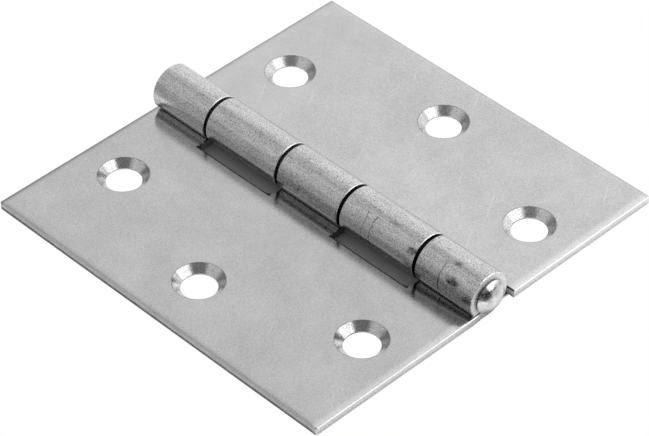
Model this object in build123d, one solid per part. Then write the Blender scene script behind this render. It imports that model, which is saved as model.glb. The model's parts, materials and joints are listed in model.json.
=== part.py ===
from build123d import *
import math
import os

# Steel butt hinge with rolled knuckles, lying open and flat, in millimetres.
# X runs across the leaves, Y along the pin and Z up. The leaves' backs lie on
# Z = 0 and the pin's axis is straight above the Y axis. The front leaf, with
# three knuckles, is on -X and the rear leaf, with two, is on +X.

# Leaves
HINGE_LENGTH = 75.0  # along the pin
LEAF_REACH = 38.25  # from the pin's axis to a leaf's outer edge
SHEET = 1.5
CORNER_ROUND = 0.35  # the leaves' outer corners, seen from above
EDGE_BREAK = 0.12  # bevel along every rim of the pressed blank

# Pin, with a riveted head at each end
PIN_DIAMETER = 5.3
PIN_CLEARANCE = 0.05  # on the radius inside the knuckles, and behind the heads
HEAD_DIAMETER = 6.2
HEAD_RIM = 0.4
HEAD_DOME = 1.3
HEAD_ROUND = 0.15

# Knuckles, by their length along the pin; the end knuckles take what is left
CENTRE_KNUCKLE = 14.0
INNER_KNUCKLE = 16.5
KNUCKLE_GAP = 0.7
END_SET_BACK = 0.15  # of the end knuckles from the leaf's ends
SLOPE_START = 3.3  # where the sheet's end slopes back to them, measured from the pin's axis
SLOPE_END = 1.7

# Free end of the curl, which stops just above its own leaf
CURL_END_ANGLE = 54.0  # its corner at the pin, in degrees below the pin's level
CURL_END_GAP = 0.05
CURL_OUTER_ROUND = 0.7

# Notches that clear the other leaf's knuckles
NOTCH_CLEARANCE = 1.45
NOTCH_ROUND = 1.3

# Screw holes, countersunk on the side that the knuckles stand on
SCREW_HOLE = 6.2
COUNTERSINK = 8.8
COUNTERSINK_ANGLE = 90.0
OUTER_HOLE_INSET = 19.05  # from the leaf's outer edge
MIDDLE_HOLE_INSET = 10.15  # from the leaf's outer edge
HOLE_END_INSET = 9.3  # from the leaf's ends

CURL_INNER_ROUND = 1.5 * EDGE_BREAK  # wide enough for the bevel to turn round it
BORE_RADIUS = PIN_DIAMETER / 2 + PIN_CLEARANCE
KNUCKLE_RADIUS = BORE_RADIUS + SHEET
AXIS_HEIGHT = KNUCKLE_RADIUS
NOTCH_EDGE = KNUCKLE_RADIUS + NOTCH_CLEARANCE

# Knuckle ends on the far half, measured from the hinge's middle
LEAF_END = HINGE_LENGTH / 2
BARREL_END = LEAF_END - END_SET_BACK
CENTRE_END = CENTRE_KNUCKLE / 2
INNER_START = CENTRE_END + KNUCKLE_GAP
INNER_END = INNER_START + INNER_KNUCKLE
OUTER_START = INNER_END + KNUCKLE_GAP


def leaf_section():
    """Section of a leaf on +X: the sheet runs flat to the pin, passes under it and curls back over it."""
    angle = math.radians(CURL_END_ANGLE)
    inner_corner = (BORE_RADIUS * math.cos(angle), AXIS_HEIGHT - BORE_RADIUS * math.sin(angle))
    end_height = SHEET + CURL_END_GAP
    outer_corner = (math.sqrt(KNUCKLE_RADIUS**2 - (AXIS_HEIGHT - end_height) ** 2), end_height)
    curl = Pos(0, AXIS_HEIGHT) * (Circle(KNUCKLE_RADIUS) - Circle(BORE_RADIUS))
    below_end = ((outer_corner[0], 0), (0, 0), (0, inner_corner[1]))
    curl -= make_face(Polyline(inner_corner, outer_corner, *below_end, close=True))
    for corner, radius in ((outer_corner, CURL_OUTER_ROUND), (inner_corner, CURL_INNER_ROUND)):
        vertex = curl.vertices().sort_by_distance(corner)[0]
        curl = fillet(vertex, min(radius, SHEET / 2))
    return curl + Pos(LEAF_REACH / 2, SHEET / 2) * Rectangle(LEAF_REACH, SHEET)


def notch(start, end):
    """Cutter for a notch in a leaf on +X, from start to end along Y, with its inside corners rounded."""
    depth = KNUCKLE_RADIUS + NOTCH_EDGE
    outline = Pos(NOTCH_EDGE - depth / 2, (start + end) / 2) * Rectangle(depth, end - start)
    corners = [v for v in outline.vertices() if v.X > 0 and abs(v.Y) < LEAF_END]
    return extrude(fillet(corners, NOTCH_ROUND), 2 * KNUCKLE_RADIUS)


def end_trim():
    """Cutter that sets a leaf's far end knuckle back; the sheet's end slopes to it just before the curl."""
    reach = 2 * KNUCKLE_RADIUS
    slope = [(SLOPE_START, LEAF_END), (SLOPE_END, BARREL_END)]
    past_slope = [(-reach, BARREL_END), (-reach, LEAF_END)]
    curl_start = extrude(make_face(Polyline(*slope, *past_slope, close=True)), AXIS_HEIGHT)
    over_sheet = Box(reach, reach, reach, align=Align.MIN)
    over_pin = Box(2 * reach, reach, reach, align=(Align.CENTER, Align.MIN, Align.MIN))
    return curl_start + Pos(0, BARREL_END, SHEET) * over_sheet + Pos(0, BARREL_END, AXIS_HEIGHT) * over_pin


def deburred(blank):
    """The blank with every rim that the press left square broken by a small bevel."""
    walls = blank.faces().filter_by(lambda face: abs(face.normal_at().Z) < 0.001)
    rims = walls.edges() - walls.edges().filter_by(Axis.Z)
    return chamfer(rims, EDGE_BREAK)


def screw_hole(x, y):
    """Cutter for a through hole whose cone opens at the leaf's top face."""
    cone_depth = (COUNTERSINK - SCREW_HOLE) / 2 / math.tan(math.radians(COUNTERSINK_ANGLE / 2))
    upwards = (Align.CENTER, Align.CENTER, Align.MIN)
    shank = Cylinder(SCREW_HOLE / 2, SHEET, align=upwards)
    cone = Pos(0, 0, SHEET - cone_depth) * Cone(SCREW_HOLE / 2, COUNTERSINK / 2, cone_depth, align=upwards)
    return Pos(x, y, 0) * (shank + cone)


def leaf(cutters):
    """A leaf on +X, with its curl and screw holes, and cut by the cutters."""
    blank = extrude(Plane.XZ * leaf_section(), LEAF_END, both=True)
    for cutter in cutters:
        blank -= cutter
    outer_corners = blank.edges().filter_by(Axis.Z).group_by(Axis.X)[-1]
    blank = deburred(fillet(outer_corners, CORNER_ROUND))
    hole_end = LEAF_END - HOLE_END_INSET
    for y in (-hole_end, hole_end):
        blank -= screw_hole(LEAF_REACH - OUTER_HOLE_INSET, y)
    return blank - screw_hole(LEAF_REACH - MIDDLE_HOLE_INSET, 0)


def front_leaf():
    """Three-knuckle leaf, with a notch for each knuckle of the rear leaf and its end knuckles set back."""
    far_cutters = [notch(CENTRE_END, OUTER_START), end_trim()]
    near_cutters = [mirror(cutter, about=Plane.XZ) for cutter in far_cutters]
    return mirror(leaf(far_cutters + near_cutters), about=Plane.YZ)


def rear_leaf():
    """Two-knuckle leaf, cut away for the front leaf's centre and end knuckles."""
    spans = [(-LEAF_END, -INNER_END), (-INNER_START, INNER_START), (INNER_END, LEAF_END)]
    return leaf([notch(start, end) for start, end in spans])


def hinge_pin():
    """Pin through all the knuckles, with a low domed head at each end that keeps it in."""
    radius = PIN_DIAMETER / 2
    head_radius = HEAD_DIAMETER / 2
    head_back = BARREL_END + PIN_CLEARANCE
    shoulder = head_back + HEAD_RIM
    tip = shoulder + HEAD_DOME
    dome_radius = (head_radius**2 + HEAD_DOME**2) / (2 * HEAD_DOME)
    dome = RadiusArc((head_radius, shoulder), (0, tip), -dome_radius)
    side = Polyline((radius, 0), (radius, head_back), (head_radius, head_back), (head_radius, shoulder))
    axis = Line((0, 0), (0, tip))
    far_half = make_face([axis, dome, *side.edges(), Line((0, 0), (radius, 0))])
    rims = far_half.vertices().group_by(Axis.X)[-1]
    far_half = fillet(rims, min(HEAD_ROUND, (head_radius - radius) / 2))
    far_end = revolve(far_half, Axis.Y)
    return Pos(0, 0, AXIS_HEIGHT) * (far_end + mirror(far_end, about=Plane.XZ))


os.makedirs("parts", exist_ok=True)
export_step(front_leaf(), "parts/front_leaf.step")
export_step(rear_leaf(), "parts/rear_leaf.step")
export_step(hinge_pin(), "parts/hinge_pin.step")
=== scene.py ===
import json
import math
from types import SimpleNamespace

import bpy
from mathutils import Matrix, Vector

# Steel butt hinge lying open on a white table. Everything is in metres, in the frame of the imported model:
# X runs across the leaves, Y along the pin and Z up. Shader patterns are written in millimetres.

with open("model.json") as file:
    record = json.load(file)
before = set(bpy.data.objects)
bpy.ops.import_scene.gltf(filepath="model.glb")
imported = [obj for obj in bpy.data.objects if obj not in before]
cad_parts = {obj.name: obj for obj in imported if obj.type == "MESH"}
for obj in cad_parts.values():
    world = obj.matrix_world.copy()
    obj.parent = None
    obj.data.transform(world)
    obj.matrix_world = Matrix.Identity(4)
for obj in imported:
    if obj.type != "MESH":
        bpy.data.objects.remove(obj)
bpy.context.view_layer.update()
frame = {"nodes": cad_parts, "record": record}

MM = 0.001

# Places on the hinge, in millimetres
SHEET_TOP = 1.5
CONE_RADIUS = 4.4
LEAF_REACH = 38.25
LEAF_END = 37.5
NOTCH_EDGE = 5.65
NOTCHES = {"front": (7.0, 24.9), "rear": (24.2, 37.5)}  # as distances from the middle of the pin
EDGE_BREAK = 0.14  # the bevel round the leaves, which the rolled edge stops at
END_ROLL = (1.8, 0.33)  # width and depth of the edge that shearing rolled down
SIDE_ROLL = (1.2, 0.10)

# Heights, in millimetres, of two painted lines along the curl's free edge, painted shade under it and a
# painted highlight on its corner, and how they drop to the near end
GAP_SHADE_LINE = (2.4, 2.95)
EDGE_HIGHLIGHT_LINE = (3.26, 3.50)
CURL_DROP = -0.65

# Tones of the steel, and where the two leaves differ. The sheet's change is painted shade, darker on the
# front leaf.
STEEL_TONE = 0.62
DARKEST_TONE = 0.03
# The pin's tone is raised above the leaves' partly as painted light on its head
PIN_TONE = 0.74
# Dark tone: painted shade on the head's side, and the tone of the dark shank
PIN_DARK_TONE = 0.12
SHEET_PAINTED_SHADE = {"front": -0.11, "rear": -0.01}
# The end faces' tones: partly the cut steel's own lighter tone, partly painted light
END_FACE_TONE_AND_LIGHT = {"front": 0.85, "rear": 0.93}
CONE_ROUGHNESS_CHANGE = {"front": -0.04, "rear": 0.06}

# Painted shade and wear on the knuckles. Low barrel shade: start and end along the pin, and what painted
# shade adds to the tone low on the barrel.
# Spots: place, radius and what they add. Scores: places along the pin.
LOW_BARREL_SHADE = {"front": ((-37.5, -24.9, -0.46), (-7.0, 7.0, -0.32)), "rear": ((-24.2, -7.7, -0.16),)}
SPOTS = {
    "front": ((-3.6, -32.8, 6.4, 1.2, -1.0), (-1.3, -31.8, 8.2, 0.7, -0.8), (-4.1, -36.2, 5.0, 1.1, -0.5)),
    "rear": ((-3.2, -23.4, 6.9, 1.0, -1.0), (-3.9, -23.4, 4.6, 0.9, -0.6), (-1.5, -18.0, 8.1, 0.8, -0.5)),
}
SCORES = {"front": (-30.0,), "rear": (-12.7, -14.6)}
# Painted dark reflections on the pin's head: place, radius and what they add
HEAD_DARK_REFLECTIONS = ((-1.9, -38.3, 5.7, 1.5, -0.85), (1.6, -38.2, 6.4, 0.8, -0.5))

# Camera, fitted to the edges, holes and knuckle gaps that the photograph shows
CAMERA_PLACE = (-0.28394, -0.29951, 0.36074)
CAMERA_AZIMUTH = 43.463
CAMERA_ELEVATION = 41.366
CAMERA_ROLL = 1.136
CAMERA_LENS = 184.28
CAMERA_SENSOR = 36.0
CAMERA_CLIP_START = 0.05

# Studio light: the sky's lobes by azimuth (from +Y towards +X), elevation, what they add, and the
# angles from their middle at which they are full and gone
SKY_BASE = 0.66
SKY_DARKEST = 0.2
SKY_LOBES = {
    "back_right": (78, 14, 0.34, 14, 72),
    "key_halo": (115, 48, 0.36, 8, 42),
    "horizon_left": (-8, 3, -0.46, 12, 43),
    "floor_left": (-68, 0, -0.22, 8, 40),
    "camera_side": (-136, 47, -0.58, 12, 36),
    "behind_camera": (-168, 3, -0.50, 14, 34),
    "far_floor": (14, -12, -0.50, 12, 34),
    "overhead_seam": (4, 58, -0.13, 3, 15),
    "behind_key": (146, 28, -0.55, 14, 34),
}
GROUND_FADE = (-0.58, -0.18)  # heights on the unit sphere between which the white ground fades out
KEY_AZIMUTH = 152.0
KEY_ELEVATION = 34.0
KEY_DISTANCE = 0.3
KEY_SIZE = 0.26
KEY_RADIANCE = 0.95

FLOOR_DROP = 0.00005
FLOOR_SIZE = 4.0
SHADE_REACH = 0.012
NOTCH_AREA = (5.9, 36.0)  # half width and length, in millimetres, of the floor seen through notches


def direction(azimuth, elevation):
    """Unit vector at an azimuth, from +Y towards +X, and an elevation, both in degrees."""
    a = math.radians(azimuth)
    e = math.radians(elevation)
    return Vector((math.sin(a) * math.cos(e), math.cos(a) * math.cos(e), math.sin(e)))


class Recipe:
    """Adds shader nodes to one tree, so that a material reads as a short list of steps."""

    def __init__(self, tree):
        self.tree = tree
        tree.nodes.clear()

    def node(self, kind, inputs=(), **settings):
        made = self.tree.nodes.new(kind)
        for name, value in settings.items():
            setattr(made, name, value)
        for socket, value in dict(inputs).items():
            self.put(made.inputs[socket], value)
        return made

    def put(self, socket, value):
        if isinstance(value, bpy.types.NodeSocket):
            self.tree.links.new(value, socket)
        else:
            socket.default_value = value

    def math(self, operation, *values):
        made = self.node("ShaderNodeMath", operation=operation)
        for socket, value in zip(made.inputs, values):
            self.put(socket, value)
        return made.outputs[0]

    def size(self, value):
        return self.math("ABSOLUTE", value)

    def larger(self, first, second):
        return self.math("MAXIMUM", first, second)

    def rest_of(self, share):
        """What a share leaves of 1."""
        return self.math("SUBTRACT", 1.0, share)

    def add(self, *values):
        total = values[0]
        for value in values[1:]:
            total = self.math("ADD", total, value)
        return total

    def times(self, *values):
        total = values[0]
        for value in values[1:]:
            total = self.math("MULTIPLY", total, value)
        return total

    def total(self, *parts):
        """Sum of parts; the values in a tuple are multiplied first."""
        return self.add(*(self.times(*part) if isinstance(part, tuple) else part for part in parts))

    def vector(self, operation, *values):
        made = self.node("ShaderNodeVectorMath", operation=operation)
        for socket, value in zip(made.inputs, values):
            self.put(socket, value)
        return made

    def step(self, value, low, high, to_low=0.0, to_high=1.0, shape="SMOOTHSTEP"):
        """Step: to_low where value is under low, to_high where it is over high."""
        inputs = {"Value": value, "From Min": low, "From Max": high, "To Min": to_low, "To Max": to_high}
        return self.node("ShaderNodeMapRange", inputs, interpolation_type=shape, clamp=True).outputs[0]

    def band(self, value, low, high, blur=0.1):
        """1 between low and high, 0 outside them."""
        rise = self.step(value, low - blur, low + blur)
        fall = self.step(value, high - blur, high + blur, 1.0, 0.0)
        return self.times(rise, fall)

    def mix(self, share, first, second):
        """first where share is 0, second where it is 1."""
        made = self.node("ShaderNodeMix", {0: share, 2: first, 3: second}, data_type="FLOAT")
        return made.outputs[0]

    def split(self, vector):
        made = self.node("ShaderNodeSeparateXYZ", {0: vector})
        return made.outputs["X"], made.outputs["Y"], made.outputs["Z"]

    def noise(self, vector, scale, detail=2.0, roughness=0.5, stretch=(1, 1, 1), turn=0, offset=(0, 0, 0)):
        """Noise around 0, about -0.5 to 0.5, with scale features to the millimetre."""
        angles = (0.0, 0.0, math.radians(turn))
        turned = self.node("ShaderNodeMapping", {"Vector": vector, "Rotation": angles}).outputs[0]
        placed = self.node("ShaderNodeMapping", {"Vector": turned, "Location": offset, "Scale": stretch})
        inputs = {"Vector": placed.outputs[0], "Scale": scale, "Detail": detail, "Roughness": roughness}
        made = self.node("ShaderNodeTexNoise", inputs, noise_dimensions="3D")
        return self.math("SUBTRACT", made.outputs["Fac"], 0.5)

    def millimetres(self):
        """Position on the piece in millimetres, which stays with the piece when it moves."""
        coordinates = self.node("ShaderNodeTexCoord")
        scaled = self.vector("SCALE", coordinates.outputs["Object"])
        scaled.inputs["Scale"].default_value = 1 / MM
        return scaled.outputs[0]

    def normal(self):
        """The surface's normal on the piece, as three values."""
        return self.split(self.node("ShaderNodeTexCoord").outputs["Normal"])

    def grey(self, value):
        made = self.node("ShaderNodeCombineColor", {0: value, 1: value, 2: value})
        return made.outputs[0]


def new_material(name):
    material = bpy.data.materials.new(name)
    material.use_nodes = True
    return material, Recipe(material.node_tree)


def steel_surface(r, colour, roughness, relief):
    """Ends a material as bare metal with a grey colour, a roughness and a relief in millimetres."""
    bump = r.node("ShaderNodeBump", {"Strength": 1.0, "Distance": MM, "Height": relief})
    shader = r.node("ShaderNodeBsdfPrincipled", {"Metallic": 1.0, "Normal": bump.outputs[0]})
    r.put(shader.inputs["Base Color"], r.grey(colour))
    r.put(shader.inputs["Roughness"], roughness)
    r.node("ShaderNodeOutputMaterial", {"Surface": shader.outputs[0]})


def hole_centres(leaf):
    """Centres of a leaf's three screw holes, in millimetres, from the mounts in the record."""
    centres = []
    for mount in frame["record"]["mounts"]:
        x, y, _ = (value / MM for value in mount["pos_m"])
        if mount["name"] == f"{leaf}_outer_holes":
            half = mount["dims"]["spacing_y_mm"] / 2
            centres += [(x, y - half), (x, y + half)]
        if mount["name"] == f"{leaf}_middle_hole":
            centres.append((x, y))
    return centres


def distance_to_holes(r, position, centres):
    """Distance from the nearest hole's axis, in millimetres."""
    x, y, _ = r.split(position)
    nearest = None
    for cx, cy in centres:
        dx = r.math("SUBTRACT", x, cx)
        dy = r.math("SUBTRACT", y, cy)
        away = r.math("SQRT", r.total((dx, dx), (dy, dy)))
        nearest = away if nearest is None else r.math("MINIMUM", nearest, away)
    return nearest


def edge_roll(r, x, y, on_sheet):
    """Depth, in millimetres, by which shearing rolled the sheet's face down towards its outer edges."""
    rolled = []
    for place, edge, (width, depth) in ((x, LEAF_REACH, SIDE_ROLL), (y, LEAF_END, END_ROLL)):
        inside = r.math("SUBTRACT", edge, r.size(place))
        share = r.step(inside, EDGE_BREAK, width, 1.0, 0.0, "LINEAR")
        rolled.append(r.times(share, share, depth))
    return r.times(r.larger(*rolled), on_sheet)


def dark_spots(r, position, dark_patches, speck):
    """What ragged dark spots, drawn out along the pin, add to a tone."""
    ragged = r.noise(position, 1.4, 3.0, 0.7, stretch=(1.0, 0.4, 1.0))
    squeeze = 0.6
    squeezed = r.vector("MULTIPLY", position, (1.0, squeeze, 1.0)).outputs[0]
    total = 0.0
    for cx, cy, cz, radius, amount in dark_patches:
        away = r.vector("DISTANCE", squeezed, (cx, squeeze * cy, cz)).outputs["Value"]
        spot = r.step(r.total(away, (ragged, 2.4 * radius)), 0.1 * radius, radius, 1.0, 0.0)
        total = r.total(total, (spot, r.add(0.35, speck), amount))
    return total


def barrel_shade_and_wear(r, leaf, position, speck):
    """What painted shade on the barrel's far side and low on the barrel, dark spots and scores add to the
    tone of a leaf's knuckles.
    """
    x, y, z = r.split(position)
    low = r.step(z, 4.8, 6.9, 1.0, 0.0)
    # Painted shade on the barrel's far side, towards its silhouette
    total = r.times(r.step(x, 2.3, 2.9), -0.18)
    # Painted shade low on the barrel
    for start, end, amount in LOW_BARREL_SHADE[leaf]:
        total = r.total(total, (r.band(y, start, end), low, amount))
    total = r.add(total, dark_spots(r, position, SPOTS[leaf], speck))
    front_of_barrel = r.step(x, -2.2, -1.4, 1.0, 0.0)
    for place in SCORES[leaf]:
        bent = r.add(y, r.noise(position, 0.4), -place)
        score = r.step(r.size(bent), 0.05, 0.13, 1.0, 0.0)
        total = r.total(total, (score, front_of_barrel, -0.50))
    return total


def sheared_bands(r, position, z):
    """Tone of a sheared edge through the sheet's thickness: light where it was cut, dark where it tore."""
    along = r.noise(position, 1.6, 3.0, 0.6, stretch=(0.25, 0.25, 2.5))
    level = r.total(z, (along, 0.35))
    cut = r.step(level, 0.45, 0.95)
    line = r.band(level, 1.15, 1.32, 0.06)
    return r.total(0.32, (cut, 0.38), (line, -0.14), (along, 0.45))


def leaf_regions(r, leaf, side, position):
    """Masks, from 0 to 1, of the regions of a leaf, whose sheet lies on the side of X with that sign."""
    x, y, z = r.split(position)
    nx, ny, _ = r.normal()
    out_x = r.size(x)
    out_y = r.size(y)
    side_tilt = r.size(nx)
    end_tilt = r.size(ny)
    on_top = r.step(z, SHEET_TOP - 0.20, SHEET_TOP - 0.12)
    at_end = r.step(out_y, LEAF_END - 0.6, LEAF_END - 0.4)
    facing_side = r.step(side_tilt, 0.80, 0.95)
    facing_end = r.step(end_tilt, 0.80, 0.95)
    part = SimpleNamespace()

    part.barrel = r.step(z, SHEET_TOP + 0.03, SHEET_TOP + 0.4)
    part.sheet = r.rest_of(part.barrel)
    part.long_edge = r.times(facing_side, r.step(out_x, LEAF_REACH - 0.3, LEAF_REACH - 0.1))
    part.side_rim = r.times(part.sheet, r.band(out_x, LEAF_REACH - 0.42, LEAF_REACH - 0.15))
    part.end_face = r.times(facing_end, at_end)
    part.end_bevel = r.times(part.sheet, at_end, r.step(end_tilt, 0.3, 0.5))

    away = distance_to_holes(r, position, hole_centres(leaf))
    above_back = r.step(z, 0.02, 0.15)
    part.cone = r.times(r.step(away, CONE_RADIUS - 0.05, CONE_RADIUS + 0.05, 1.0, 0.0), above_back)
    part.cone_rim = r.times(r.band(away, CONE_RADIUS - 0.05, CONE_RADIUS + 0.12, 0.04), on_top)

    beside_notch = r.times(r.band(out_y, *NOTCHES[leaf]), part.sheet, on_top)
    part.notch_rim = r.times(beside_notch, r.band(out_x, NOTCH_EDGE - 0.3, NOTCH_EDGE + 0.3, 0.05))
    part.beside_barrel = r.times(part.sheet, r.step(out_x, 7.0, 10.0, 1.0, 0.0))

    part.in_gap = r.times(facing_end, r.rest_of(at_end))
    part.bevel = r.times(part.barrel, r.step(end_tilt, 0.35, 0.5), r.rest_of(facing_end))
    part.underside = r.times(part.barrel, r.step(z, 2.0, 5.2, 1.0, 0.0), r.step(z, 1.6, 2.6, 0.2, 1.0))
    curl_side = r.times(part.barrel, r.step(r.times(x, side), 2.4, 2.6))
    curl_height = r.math("SUBTRACT", z, r.step(y, -36.0, -25.0, CURL_DROP, 0.0, "LINEAR"))
    # Painted shade line and painted highlight line along the curl's free edge
    part.crease = r.times(curl_side, r.band(curl_height, *GAP_SHADE_LINE, 0.2))
    part.burr = r.times(curl_side, r.band(curl_height, *EDGE_HIGHLIGHT_LINE, 0.05))
    return part


def leaf_patterns(r, position, seed):
    """Noises of the rolled steel, which the seed shifts so that the leaves differ."""
    shift = (seed * 7.3, seed * 3.1, seed * 1.7)
    pattern = SimpleNamespace()
    pattern.grain = r.noise(position, 4.6, 2.0, 0.8, offset=shift)
    pattern.cloud = r.noise(position, 0.11, 4.0, 0.55, offset=shift)
    pattern.patch = r.noise(position, 0.42, 3.0, 0.6, offset=shift)
    pattern.streak = r.noise(position, 1.9, 4.0, 0.62, stretch=(1.0, 0.06, 1.0), offset=shift)
    pepper = r.noise(position, 5.0, 1.0, 0.5, stretch=(1.0, 0.7, 1.0), offset=shift)
    pattern.pepper = r.step(pepper, 0.12, 0.20)
    speck = r.noise(position, 2.1, 3.0, 0.75, offset=shift)
    pattern.speck = r.step(speck, 0.10, 0.20)
    scratch = r.noise(position, 1.3, 2.0, 0.6, stretch=(0.9, 0.05, 1.0), turn=58, offset=shift)
    pattern.scratch = r.step(scratch, 0.17, 0.23)
    smudge = r.noise(position, 0.5, 3.0, 0.6, offset=shift)
    pattern.smudge = r.step(smudge, 0.0, 0.2)
    return pattern


def sheet_tone(r, leaf, y, part, pattern):
    """What the sheet's grain, clouds, scratches, cones and painted shade lines along its rims add to its
    tone.
    """
    quiet = r.step(y, 12.0, 30.0, 0.9, 0.45) if leaf == "rear" else 0.95
    cone = r.total(0.16, (pattern.grain, 1.6), (pattern.pepper, -0.20))
    faces = r.total((pattern.grain, quiet), (pattern.cloud, 0.34), (pattern.patch, 0.14), (part.cone, cone))
    marks = r.total((pattern.speck, -0.06), (pattern.scratch, 0.09))
    # Painted shade: dark lines along the notch rims, the outer rims and the countersink rims
    rim_shade_lines = r.total((part.notch_rim, -0.9), (part.side_rim, -0.16), (part.cone_rim, -0.35))
    return r.add(faces, marks, rim_shade_lines)


def barrel_tone(r, leaf, position, part, pattern):
    """What the knuckles' grain, streaks, specks, painted shade and highlight lines along the curl's edge,
    painted shade and wear add to their tone.
    """
    surface = r.total((pattern.grain, 2.5), (pattern.streak, 0.7), (pattern.pepper, -0.50))
    # Specks, with the painted shade line and painted highlight line along the curl's edge
    marks = r.total((pattern.speck, pattern.smudge, -0.5), (part.crease, -0.34), (part.burr, 0.60))
    return r.add(surface, marks, barrel_shade_and_wear(r, leaf, position, r.step(pattern.grain, -0.02, 0.06)))


def leaf_colour(r, leaf, position, part, pattern):
    """Grey of a leaf, from 0 to about 1."""
    _, y, z = r.split(position)
    on_sheet = sheet_tone(r, leaf, y, part, pattern)
    on_barrel = barrel_tone(r, leaf, position, part, pattern)
    spread = r.total(1.0, (on_sheet, part.sheet), (on_barrel, part.barrel))
    # Painted shade under the barrel, and painted highlights on the knuckles' rim bevels and the leaves' end
    # bevels
    shading = r.total(1.0, (part.underside, -0.30), (part.bevel, 0.35), (part.end_bevel, 0.25))
    # Painted shade on the knuckles' faces in the gaps between them
    gap_face_shade = r.step(y, -6.0, 4.0, -0.50, 0.0)
    # Painted shade on the sheet, darker on the front leaf
    shading = r.total(shading, (part.in_gap, gap_face_shade), (part.sheet, SHEET_PAINTED_SHADE[leaf]))
    colour = r.larger(r.times(spread, shading, STEEL_TONE), DARKEST_TONE)
    colour = r.mix(part.long_edge, colour, sheared_bands(r, position, z))
    # Cut end faces: their own lighter tone, partly painted light
    end_face = r.total(END_FACE_TONE_AND_LIGHT[leaf], (pattern.grain, 1.1), (r.band(z, 0.35, 0.65), -0.12))
    return r.mix(part.end_face, colour, end_face)


def leaf_roughness(r, leaf, part, pattern):
    roughness = r.total(0.20, (pattern.grain, 0.12), (pattern.cloud, 0.12), (part.barrel, 0.05))
    roughness = r.total(roughness, (part.cone, CONE_ROUGHNESS_CHANGE[leaf]), (part.beside_barrel, -0.06))
    roughness = r.total(roughness, (part.bevel, 0.10), (part.notch_rim, 0.2))
    cut_face = r.larger(part.long_edge, part.end_face)
    return r.mix(cut_face, roughness, r.total(0.55, (pattern.grain, 0.3)))


def leaf_relief(r, position, part, pattern):
    """Grain, streaks and the rolled edges, in millimetres."""
    x, y, _ = r.split(position)
    depth = r.total(0.006, (part.barrel, -0.002), (part.cone, 0.006), (part.beside_barrel, 0.004))
    rolled = edge_roll(r, x, y, part.sheet)
    return r.total((pattern.grain, depth), (pattern.streak, part.barrel, 0.010), (rolled, -1.0))


def leaf_material(leaf, side, seed):
    """Bare rolled steel: mottled and faintly cloudy on the sheet, streaked and worn along the barrel."""
    material, r = new_material(f"{leaf}_leaf_steel")
    position = r.millimetres()
    part = leaf_regions(r, leaf, side, position)
    pattern = leaf_patterns(r, position, seed)
    colour = leaf_colour(r, leaf, position, part, pattern)
    roughness = leaf_roughness(r, leaf, part, pattern)
    steel_surface(r, colour, roughness, leaf_relief(r, position, part, pattern))
    return material


def pin_material():
    """Drawn steel: a light, slightly mottled head with painted dark reflections, painted shade on its side,
    and a dark shank.
    """
    material, r = new_material("pin_steel_bright")
    position = r.millimetres()
    _, y, _ = r.split(position)
    _, ny, _ = r.normal()
    shank = r.step(r.size(y), LEAF_END - 0.6, LEAF_END - 0.3, 1.0, 0.0)
    side = r.step(r.size(ny), 0.15, 0.5, 1.0, 0.0)
    grain = r.noise(position, 3.5, 3.0, 0.7)
    pits = r.noise(position, 1.1, 2.0, 0.5)
    # Painted dark reflections on the head
    dark_patches = dark_spots(r, position, HEAD_DARK_REFLECTIONS, r.step(grain, -0.05, 0.05))
    spread = r.total(1.0, (grain, 1.2), (pits, 0.5), dark_patches)
    # Painted shade on the head's side; the shank, which shows only in the knuckle gaps, is dark too
    tone = r.mix(r.larger(shank, side), PIN_TONE, PIN_DARK_TONE)
    colour = r.larger(r.times(spread, tone), DARKEST_TONE)
    roughness = r.total(0.12, (pits, 0.15), (grain, 0.1))
    steel_surface(r, colour, roughness, r.total((grain, 0.008), (pits, 0.05)))
    return material


def dress(node, material):
    frame["nodes"][node].material_slots[0].material = material


def floor_material():
    """Table: clear where it is lit, so that the white ground shows, and paint where the hinge shades it."""
    material, r = new_material("white_table")
    paths = r.node("ShaderNodeLightPath").outputs
    to_eye = paths["Is Camera Ray"]
    in_mirror = r.larger(paths["Is Glossy Ray"], paths["Is Transmission Ray"])
    x, y, _ = r.split(r.millimetres())
    half_width, half_length = NOTCH_AREA
    across = r.step(r.size(x), half_width, half_width + 0.2, 1.0, 0.0)
    along = r.step(r.size(y), half_length, half_length + 0.5, 1.0, 0.0)
    open_sky = r.node("ShaderNodeAmbientOcclusion", {"Distance": SHADE_REACH}, samples=32).outputs["AO"]
    lit_to_eye = r.mix(r.times(across, along), 1.0, r.step(open_sky, 0.60, 0.80))
    lit_in_mirror = r.step(open_sky, 0.55, 0.95)
    lit = r.total((lit_to_eye, to_eye), (lit_in_mirror, in_mirror))
    # Painted shade: the paint's colour darkens where the hinge hides more of the sky
    shade = r.grey(r.step(open_sky, 0.30, 0.62, 0.42, 0.85))
    paint = r.node("ShaderNodeBsdfDiffuse", {"Color": shade}).outputs[0]
    clear = r.node("ShaderNodeBsdfTransparent").outputs[0]
    mixed = r.node("ShaderNodeMixShader", {0: lit, 1: paint, 2: clear})
    r.node("ShaderNodeOutputMaterial", {"Surface": mixed.outputs[0]})
    return material


def floor():
    half = FLOOR_SIZE / 2
    corners = [(x, y, -FLOOR_DROP) for x, y in ((-half, -half), (half, -half), (half, half), (-half, half))]
    mesh = bpy.data.meshes.new("table")
    mesh.from_pydata(corners, [], [(0, 1, 2, 3)])
    mesh.materials.append(floor_material())
    table = bpy.data.objects.new("table", mesh)
    bpy.context.scene.collection.objects.link(table)


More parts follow.
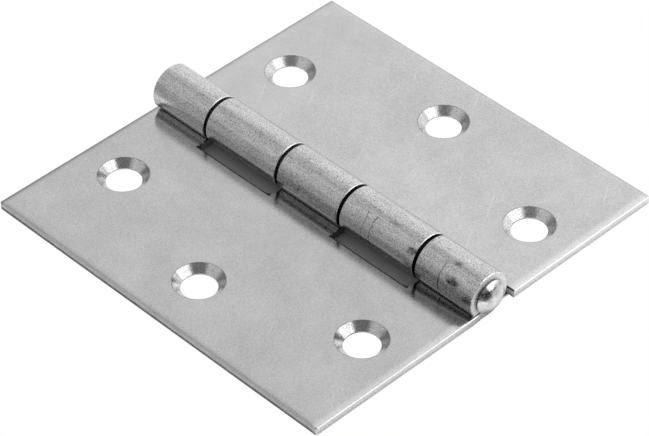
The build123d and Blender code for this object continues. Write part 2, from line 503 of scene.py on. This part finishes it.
def sky():
    """White to the eye, but lights and mirrors as a pale room, brighter at the right, on white ground."""
    world = bpy.data.worlds.new("studio")
    bpy.context.scene.world = world
    world.use_nodes = True
    r = Recipe(world.node_tree)
    ray = r.vector("NORMALIZE", r.node("ShaderNodeTexCoord").outputs["Generated"]).outputs[0]
    level = SKY_BASE
    for azimuth, elevation, amount, full, gone in SKY_LOBES.values():
        along = r.vector("DOT_PRODUCT", ray, direction(azimuth, elevation)).outputs["Value"]
        lobe = r.step(along, math.cos(math.radians(gone)), math.cos(math.radians(full)), 0.0, amount)
        level = r.add(level, lobe)
    level = r.larger(level, SKY_DARKEST)
    _, _, height = r.split(ray)
    below = r.step(height, *GROUND_FADE, 1.0, 0.0)
    paths = r.node("ShaderNodeLightPath").outputs
    to_eye = r.larger(paths["Is Camera Ray"], paths["Is Transmission Ray"])
    level = r.mix(r.larger(below, to_eye), level, 1.0)
    background = r.node("ShaderNodeBackground", {"Color": (1, 1, 1, 1), "Strength": level})
    r.node("ShaderNodeOutputWorld", {"Surface": background.outputs[0]})


def key_light():
    """Large softbox to the right of the camera."""
    lamp = bpy.data.lights.new("key", "AREA")
    lamp.shape = "SQUARE"
    lamp.size = KEY_SIZE
    lamp.energy = KEY_RADIANCE * 4 * KEY_SIZE**2  # what gives a square lamp that radiance
    softbox = bpy.data.objects.new("key", lamp)
    toward = direction(KEY_AZIMUTH, KEY_ELEVATION)
    softbox.location = toward * KEY_DISTANCE
    softbox.rotation_euler = toward.to_track_quat("Z", "Y").to_euler()
    softbox.visible_camera = False
    bpy.context.scene.collection.objects.link(softbox)


def camera():
    data = bpy.data.cameras.new("camera")
    data.sensor_width = CAMERA_SENSOR
    data.lens = CAMERA_LENS
    data.clip_start = CAMERA_CLIP_START
    turn = Matrix.Rotation(math.radians(-CAMERA_AZIMUTH), 4, "Z")
    tilt = Matrix.Rotation(math.radians(90 - CAMERA_ELEVATION), 4, "X")
    roll = Matrix.Rotation(math.radians(-CAMERA_ROLL), 4, "Z")
    made = bpy.data.objects.new("camera", data)
    made.matrix_world = Matrix.Translation(CAMERA_PLACE) @ turn @ tilt @ roll
    bpy.context.scene.collection.objects.link(made)
    bpy.context.scene.camera = made


camera()
floor()
sky()
key_light()
dress("front_leaf", leaf_material("front", side=-1, seed=1))
dress("rear_leaf", leaf_material("rear", side=1, seed=2))
dress("hinge_pin", pin_material())
bpy.context.scene.view_settings.view_transform = "Standard"
